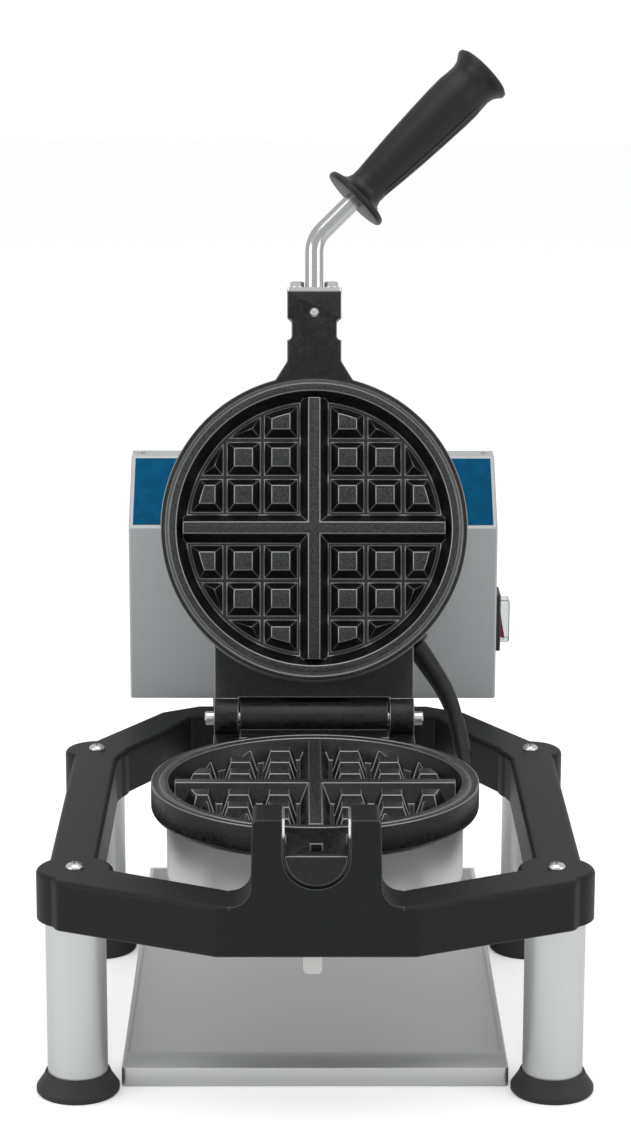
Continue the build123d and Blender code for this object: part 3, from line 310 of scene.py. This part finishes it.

# Irons: sand-cast iron, machined only on the rim, seasoned black with oil. The sand's grain still
# shows, the oil gives a soft gloss, and every edge is rubbed to bare grey and painted pale as a
# highlight.
LID_LEAN = math.radians(16.9)
LID_UP = Vector((0, math.sin(LID_LEAN), math.cos(LID_LEAN)))
LID_OUT = Vector((0, -math.cos(LID_LEAN), math.sin(LID_LEAN)))
HINGE = Vector((0, 19.25, 173.3))
HINGE_REACH, HINGE_RISE = 124.3, 3.1  # from the hinge to the middle of a plate's face
UPPER_CENTRE = HINGE + LID_UP * HINGE_REACH + LID_OUT * HINGE_RISE
LOWER_CENTRE = HINGE + Vector((0, -HINGE_REACH, HINGE_RISE))
SEASONED_DARK, SEASONED_PALE = "#070808", "#141515"
SCRAPED_AND_LIT, SCRAPED_IN, SCRAPED_OUT = "#3b3e3d", 97.0, 99.0  # colour of scraped iron and painted highlight, radii where it fades
IRON_ROUND = 0.55


def mottle(material, dark, pale, size_mm, low, high):
    """Two colours in soft patches of that size; low and high are where they meet."""
    tree = material.node_tree
    place = add_node(tree, "ShaderNodeTexCoord")
    noise = add_node(tree, "ShaderNodeTexNoise", {"Scale": 1 / (size_mm * MM), "Detail": 4.0},
                     {"Vector": place.outputs["Object"]})
    ramp = add_node(tree, "ShaderNodeValToRGB", None, {0: noise.outputs[0]})
    for stop, position, colour in zip(ramp.color_ramp.elements, (low, high), (dark, pale)):
        stop.position, stop.color = position, linear(colour)
    tree.links.new(ramp.outputs["Color"], shader_of(material).inputs["Base Color"])
    return noise


def multiply(tree, first, second):
    return add_node(tree, "ShaderNodeMath", {"operation": "MULTIPLY"},
                    {0: first, 1: second}).outputs[0]


def scrape_and_light(material, direction, centre):
    """Faces inside the rim that look along that direction are painted paler in specks: scraped
    iron and a painted highlight on faces turned to the light.
    """
    tree, shader = material.node_tree, shader_of(material)
    seasoned = shader.inputs["Base Color"].links[0].from_socket
    place = add_node(tree, "ShaderNodeTexCoord")
    facing = add_node(tree, "ShaderNodeVectorMath", {"operation": "DOT_PRODUCT", 1: direction},
                      {0: place.outputs["Normal"]})
    lit_facing = add_node(tree, "ShaderNodeMapRange", {"From Min": 0.93, "From Max": 0.99},
                     {0: facing.outputs["Value"]})
    specks = add_node(tree, "ShaderNodeTexNoise", {"Scale": 1 / (1.1 * MM), "Detail": 3.0},
                      {"Vector": place.outputs["Object"]})
    uneven = add_node(tree, "ShaderNodeMapRange",
                      {"From Min": 0.36, "From Max": 0.7, "To Min": 0.1, "To Max": 1.0},
                      {0: specks.outputs[0]})
    away = add_node(tree, "ShaderNodeVectorMath", {"operation": "DISTANCE", 1: centre * MM},
                    {0: place.outputs["Object"]})
    inside = add_node(tree, "ShaderNodeMapRange",
                      {"From Min": SCRAPED_OUT * MM, "From Max": SCRAPED_IN * MM},
                      {0: away.outputs["Value"]})
    share = multiply(tree, multiply(tree, lit_facing.outputs[0], uneven.outputs[0]),
                     inside.outputs[0])
    tree.links.new(mix_colours(tree, share, seasoned, SCRAPED_AND_LIT), shader.inputs["Base Color"])


def make_iron_finish(side, direction, centre):
    """Seasoned iron for one plate, glossier where the oil lies dark."""
    iron = new_finish("seasoned_cast_iron_" + side, SEASONED_PALE, 0.42,
                      Specular_IOR_Level=0.3)
    patches = mottle(iron, SEASONED_DARK, SEASONED_PALE, 2.6, 0.38, 0.66)
    oil = add_node(iron.node_tree, "ShaderNodeMapRange",
                   {"From Min": 0.38, "From Max": 0.66, "To Min": 0.28, "To Max": 0.46},
                   {0: patches.outputs[0]})
    iron.node_tree.links.new(oil.outputs[0], shader_of(iron).inputs["Roughness"])
    grain(iron, 1.3, 0.16, detail=4.0)
    # Faces turned out of the plate are painted paler: scraped iron and a painted highlight.
    scrape_and_light(iron, direction, centre)
    return iron


# The edges' bevels take this pale iron: bare rubbed metal and a painted highlight.
rubbed_and_lit_edge = new_finish("rubbed_and_highlit_cast_iron_edge", "#7d7f7c", 0.34, 0.75)
grain(rubbed_and_lit_edge, 0.9, 0.05)
for side, body, outward, centre in (("lower", "roll", Vector((0, 0, 1)), LOWER_CENTRE),
                                    ("upper", "lid", LID_OUT, UPPER_CENTRE)):
    softened(side + "_iron", IRON_ROUND, body, "cast_iron",
             make_iron_finish(side, outward, centre), rubbed_and_lit_edge)

# Heater drums: spun stainless cups, satin ground, over the ring heaters and their felt.
# Hidden behind them are the insulation, the heaters and the thermostat's probe.
drum_steel = new_finish("spun_stainless_drum", "#c6c7c6", 0.38, 0.85)
grain(drum_steel, 1.4, 0.02, stretch=(0.2, 0.2, 3.0))
give(drum_steel, "lower_drum", "upper_drum")
heater_steel = new_finish("oxidised_heater_sheath", "#6e6a64", 0.5, 1.0)
give(heater_steel, "lower_heater", "upper_heater", "thermostat_probe")
felt = new_finish("mineral_fibre_felt", "#cfc8b8", 0.95)
grain(felt, 3.0, 0.4)
give(felt, "lower_insulation", "upper_insulation")

# Handle tube: cold-bent steel tube with a bright zinc coat, screwed to the neck's end.
# The coat is nearly a mirror, with a very fine grain left by the drawing.
bright_tube = new_finish("bright_zinc_tube", "#b2b4b4", 0.2, 1.0)
grain(bright_tube, 0.8, 0.006)
give(bright_tube, "handle_tube")

# Grip: one black thermoset moulding with a guard disc, flutes for the fingers on both
# sides and a flared end. Its skin is smooth with a low gloss.
TUBE_DEPTH = 17.85 / 2  # the tube's axis behind the face of the upper plate
TUBE_CORNER = 191.5  # plate's middle to the corner of the bent tube
GUARD_REACH = 36.5  # corner to the near face of the guard
GRIP_WAY = (LID_UP + Vector((1, 0, 0))).normalized()
GRIP_START = (UPPER_CENTRE + LID_UP * TUBE_CORNER - LID_OUT * TUBE_DEPTH
              + GRIP_WAY * GUARD_REACH)
GRIP_PROFILE = [  # distance from the guard's near face, radius
    (0.0, 6.4), (0.0, 21.5), (0.4, 22.8), (1.5, 23.5), (3.0, 23.4), (4.3, 22.6), (5.2, 20.0),
    (6.4, 16.5), (8.5, 13.9), (12.0, 12.7), (17.0, 12.6), (24.0, 13.2), (34.0, 14.1),
    (50.0, 15.3), (70.0, 16.4), (88.0, 17.2), (98.0, 17.3), (105.0, 16.7), (110.0, 16.5),
    (114.0, 17.3), (117.0, 19.2), (119.0, 20.8), (120.3, 21.1), (121.5, 20.8), (122.6, 19.1),
    (123.2, 15.3), (123.6, 9.0), (123.7, 3.0),
]
FLUTES, FLUTE_DEPTH, FLUTE_ANGLE = 4, 1.3, math.radians(17.0)  # on each side of the grip
FLUTE_START, FLUTE_END = 16.0, 104.0
FLUTE_FADE_IN, FLUTE_FADE_OUT = 5.0, 7.0
FINE_START, FINE_END, FINE_STEP = 13.0, 108.0, 1.5  # where the rings lie close, and how
GRIP_SIDES = 120


def profile_radius(distance):
    for (near, near_radius), (far, far_radius) in zip(GRIP_PROFILE[1:], GRIP_PROFILE[2:]):
        if near <= distance <= far:
            share = (distance - near) / (far - near)
            return near_radius + (far_radius - near_radius) * share


def flute_depth(distance, turn):
    """How deep the flutes cut at that distance along the grip and turn around it."""
    fade = (min(1, max(0, (distance - FLUTE_START) / FLUTE_FADE_IN))
            * min(1, max(0, (FLUTE_END - distance) / FLUTE_FADE_OUT)))
    flute = math.asin(max(-1, min(1, math.cos(turn)))) / FLUTE_ANGLE
    if abs(flute) >= FLUTES / 2:
        return 0.0
    return FLUTE_DEPTH * fade * max(0.0, math.cos(2 * math.pi * flute)) ** 1.5


def skin_rings(name, rings, material):
    """One closed mesh over those rings of points, smooth over its rounded edges."""
    sides = len(rings[0])
    last = (len(rings) - 1) * sides
    faces = []
    for start in range(0, last, sides):
        for k in range(sides):
            a, b = start + k, start + (k + 1) % sides
            faces.append((a, b, b + sides, a + sides))
    faces += [range(sides)[::-1], range(last, last + sides)]
    piece = new_object(name, [spot for ring in rings for spot in ring], faces)
    shape = bmesh.new()
    shape.from_mesh(piece.data)
    bmesh.ops.recalc_face_normals(shape, faces=shape.faces)
    shape.to_mesh(piece.data)
    shape.free()
    piece.data.materials.append(material)
    return settle(piece, 50.0)


grip_skin = new_finish("black_thermoset_moulding", "#141516", 0.4, Specular_IOR_Level=0.3)
grain(grip_skin, 2.2, 0.02)

grip_side = GRIP_WAY.cross(LID_OUT)
stations = [point for point in GRIP_PROFILE if point[0] < FINE_START]
for i in range(int((FINE_END - FINE_START) / FINE_STEP) + 1):
    distance = FINE_START + i * FINE_STEP
    stations.append((distance, profile_radius(distance)))
stations += [point for point in GRIP_PROFILE if point[0] > stations[-1][0] + 0.5]
grip_rings = []
for distance, radius in stations:
    ring = []
    for k in range(GRIP_SIDES):
        turn = 2 * math.pi * k / GRIP_SIDES
        outward = LID_OUT * math.cos(turn) + grip_side * math.sin(turn)
        spot = GRIP_START + GRIP_WAY * distance + outward * (radius - flute_depth(distance, turn))
        ring.append(spot * MM)
    grip_rings.append(ring)
grip = skin_rings("moulded_grip", grip_rings, grip_skin)
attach(grip, "lid")
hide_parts("handle_grip")

# Lead hose: wound metal conduit in a black sleeve between the two drums. A boot thickens it at
# the upper gland, and two shrink collars hold the sleeve.
HOSE_ROUTE = [(66.7, 64.1, 211.6), (73.5, 66.0, 201.0), (90.0, 60.0, 177.0),
              (98.0, 45.5, 150.0), (99.5, 22.0, 133.0), (97.0, -5.0, 127.0),
              (89.6, -29.8, 129.0), (78.9, -38.8, 129.4)]
SLEEVE_RADIUS = 4.4
SLEEVE_SIDES = 32
COLLARS = ((0.40, 0.05), (0.48, 0.022))  # middle and half length, as shares of the hose
COLLAR_RISE = 1.0
BOOT_END, BOOT_TAPER, BOOT_RISE = 0.36, 0.3, 2.6  # end and taper as shares of the hose


def hose_line():
    """Closely spaced points along the smooth curve that the route's points pull."""
    line = bpy.data.curves.new("hose_line", "CURVE")
    line.dimensions = "3D"
    spline = line.splines.new("NURBS")
    spline.points.add(len(HOSE_ROUTE) - 1)
    for spot, (x, y, z) in zip(spline.points, HOSE_ROUTE):
        spot.co = (x * MM, y * MM, z * MM, 1)
    spline.order_u = 3
    spline.use_endpoint_u = True
    spline.resolution_u = 16
    holder = bpy.data.objects.new("hose_holder", line)
    bpy.context.scene.collection.objects.link(holder)
    path = bpy.data.meshes.new_from_object(
        holder.evaluated_get(bpy.context.evaluated_depsgraph_get()))
    bpy.data.objects.remove(holder)
    return [vertex.co.copy() for vertex in path.vertices]


def sleeve_radius(share):
    """The sleeve's radius at that share of the hose, counted from the upper gland."""
    radius = SLEEVE_RADIUS
    radius += sum(COLLAR_RISE for middle, half in COLLARS if abs(share - middle) < half)
    boot = min(1.0, max(0.0, (BOOT_END - share) / BOOT_TAPER))
    return radius + BOOT_RISE * boot ** 0.6


sleeve = new_finish("black_sleeved_conduit", "#151617", 0.5, Specular_IOR_Level=0.3)

spots = hose_line()
hose_length = sum((b - a).length for a, b in zip(spots, spots[1:]))
hose_rings, run, upright = [], 0.0, Vector((0, 0, 1))
for i, spot in enumerate(spots):
    before, after = spots[max(i - 1, 0)], spots[min(i + 1, len(spots) - 1)]
    run += (spot - before).length
    ahead = (after - before).normalized()
    upright = (upright - ahead * upright.dot(ahead)).normalized()
    sideways = ahead.cross(upright)
    ring = []
    for k in range(SLEEVE_SIDES):
        turn = 2 * math.pi * k / SLEEVE_SIDES
        outward = upright * math.cos(turn) + sideways * math.sin(turn)
        ring.append(spot + outward * sleeve_radius(run / hose_length) * MM)
    hose_rings.append(ring)
hose = skin_rings("lead_sleeve", hose_rings, sleeve)
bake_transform(hose)
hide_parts("lead_hose")

gland_black = new_finish("black_nylon_gland", "#1d1f1f", 0.45)
give(gland_black, "lower_hose_gland", "upper_hose_gland")

# Control box: folded 1.2 mm stainless sheet with a ground satin face, closed behind by
# a flat cover. The grinding runs level across the front.
sheet_steel = new_finish("satin_stainless_sheet", "#a9adae", 0.5, 0.35)
grain(sheet_steel, 1.5, 0.012, stretch=(0.05, 1.0, 2.0))
give(sheet_steel, "box_shell", "box_back")

# Panel: blue polycarbonate sheet stuck on the sloped face, with a smoked window, two
# lamps and three keys of grey plastic. The timer's board hangs behind it.
label = new_finish("blue_polycarbonate_sheet", "#024a6b", 0.5, Specular_IOR_Level=0.03)
mottle(label, "#014566", "#034d70", 9.0, 0.4, 0.6)
give(label, "panel_label")
smoked = new_finish("smoked_acrylic_window", "#0e1113", 0.12)
give(smoked, "display_window")
lamp_lens = new_finish("red_lamp_lens", "#8f1b18", 0.2)
give(lamp_lens, "indicator_lamps")
key_plastic = new_finish("grey_abs_keys", "#8b8f93", 0.45)
give(key_plastic, "start_button", "plus_button", "minus_button")
board_green = new_finish("glass_fibre_board", "#2e5f3a", 0.4)
give(board_green, "timer_board")
pale_nylon = new_finish("pale_moulded_nylon", "#d9d6cb", 0.5)
give(pale_nylon, "terminal_block")

# Mains switch: black nylon bezel snapped into the box's side, a red rocker, and a clear
# soft cover that keeps batter out. Gland and relay are of the same black nylon.
black_nylon = new_finish("black_moulded_nylon", "#161718", 0.45)
give(black_nylon, "switch_bezel", "cable_gland", "power_relay")
rocker_red = new_finish("red_rocker_plastic", "#a8182a", 0.3)
give(rocker_red, "switch_rocker")
clear_cover = new_finish("clear_soft_cover", "#eef1f1", 0.1, Transmission_Weight=1.0, IOR=1.4)
give(clear_cover, "switch_cover")

# Drip tray: folded stainless sheet with hemmed edges and a grip flange at the front.
# The grinding runs from side to side, so the sheet mirrors the legs only softly.
TRAY_ROUND = 0.5

tray_steel = new_finish("satin_stainless_tray", "#cccecd", 0.46, 1.0)
grain(tray_steel, 1.5, 0.012, stretch=(0.05, 1.0, 1.0))
softened("drip_tray", TRAY_ROUND, "tray", "stainless", tray_steel)

# Studio: a white floor and room that show as white to the camera, one broad soft lamp
# above and one from each side, so the metal has soft bright and grey bands.
FLOOR_HALF = 6.0
FLOOR_GLOW = 0.27  # added to what the camera sees, so the open floor is as white as the room
ROOM_GLOW = 0.8
LAMPS = (  # name, place, size, power
    ("top_softbox", (0.0, -0.3, 1.9), 1.6, 14.0),
    ("left_softbox", (-1.8, -1.2, 1.0), 1.2, 12.0),
    ("right_softbox", (1.8, -1.0, 1.1), 1.2, 9.0),
)
LAMPS_AIM = Vector((0, 0, 0.2))
WHITE = (1, 1, 1, 1)

studio_floor = new_object("studio_floor", [(x * FLOOR_HALF, y * FLOOR_HALF, 0) for x, y in
                                           ((-1, -1), (1, -1), (1, 1), (-1, 1))],
                          [(0, 1, 2, 3)])
floor_white = new_finish("studio_white", "#f0f0f0", 0.9)
floor_tree = floor_white.node_tree
floor_ray = add_node(floor_tree, "ShaderNodeLightPath")
floor_share = add_node(floor_tree, "ShaderNodeMath", {"operation": "MULTIPLY", 1: FLOOR_GLOW},
                       {0: floor_ray.outputs["Is Camera Ray"]})
floor_glow = add_node(floor_tree, "ShaderNodeEmission", {"Color": WHITE},
                      {"Strength": floor_share.outputs[0]})
floor_sum = add_node(floor_tree, "ShaderNodeAddShader", None,
                     {0: shader_of(floor_white).outputs[0], 1: floor_glow.outputs[0]})
floor_tree.links.new(floor_sum.outputs[0], floor_tree.nodes["Material Output"].inputs["Surface"])
studio_floor.data.materials.append(floor_white)

room = bpy.data.worlds.new("studio_room")
bpy.context.scene.world = room
room.use_nodes = True
room_tree = room.node_tree
room_tree.nodes.clear()
room_ray = add_node(room_tree, "ShaderNodeLightPath")
seen_room = add_node(room_tree, "ShaderNodeBackground", {"Color": WHITE, "Strength": 1.0})
lit_room = add_node(room_tree, "ShaderNodeBackground", {"Color": WHITE, "Strength": ROOM_GLOW})
straight = add_node(room_tree, "ShaderNodeMath", {"operation": "MAXIMUM"},
                    {0: room_ray.outputs["Is Camera Ray"],
                     1: room_ray.outputs["Is Transmission Ray"]})
room_mix = add_node(room_tree, "ShaderNodeMixShader", None,
                    {0: straight.outputs[0], 1: lit_room.outputs[0], 2: seen_room.outputs[0]})
add_node(room_tree, "ShaderNodeOutputWorld", None, {"Surface": room_mix.outputs[0]})

for name, place, size, power in LAMPS:
    light = bpy.data.lights.new(name, "AREA")
    light.size, light.energy = size, power
    lamp = bpy.data.objects.new(name, light)
    lamp.location = place
    lamp.rotation_euler = (LAMPS_AIM - Vector(place)).to_track_quat("-Z", "Y").to_euler()
    bpy.context.scene.collection.objects.link(lamp)

# Camera: where the photograph was taken from, a long lens slightly above the object,
# fitted to the pitch of the waffle pattern and the places of the legs.
CAMERA_PLACE = Vector((-11.0, -1901.25, 721.6))
PITCH, YAW, ROLL = math.radians(13.23), math.radians(0.35), math.radians(0.13)
LENS_PIXELS, PHOTO_HEIGHT_PIXELS = 3060.6, 1147
SENSOR_HEIGHT = 36.0

ahead = Vector((math.sin(YAW) * math.cos(PITCH), math.cos(YAW) * math.cos(PITCH),
                -math.sin(PITCH)))
right = ahead.cross(Vector((0, 0, 1))).normalized()
above = right.cross(ahead)
right, above = (right * math.cos(ROLL) + above * math.sin(ROLL),
                above * math.cos(ROLL) - right * math.sin(ROLL))
lens = bpy.data.cameras.new("photo_camera")
lens.sensor_fit = "VERTICAL"
lens.sensor_height = SENSOR_HEIGHT
lens.lens = LENS_PIXELS / PHOTO_HEIGHT_PIXELS * SENSOR_HEIGHT
lens.clip_end = 20.0
camera = bpy.data.objects.new("photo_camera", lens)
camera.matrix_world = (Matrix.Translation(CAMERA_PLACE * MM)
                       @ Matrix((right, above, -ahead)).transposed().to_4x4())
bpy.context.scene.collection.objects.link(camera)
bpy.context.scene.camera = camera
bpy.context.scene.view_settings.view_transform = "Standard"
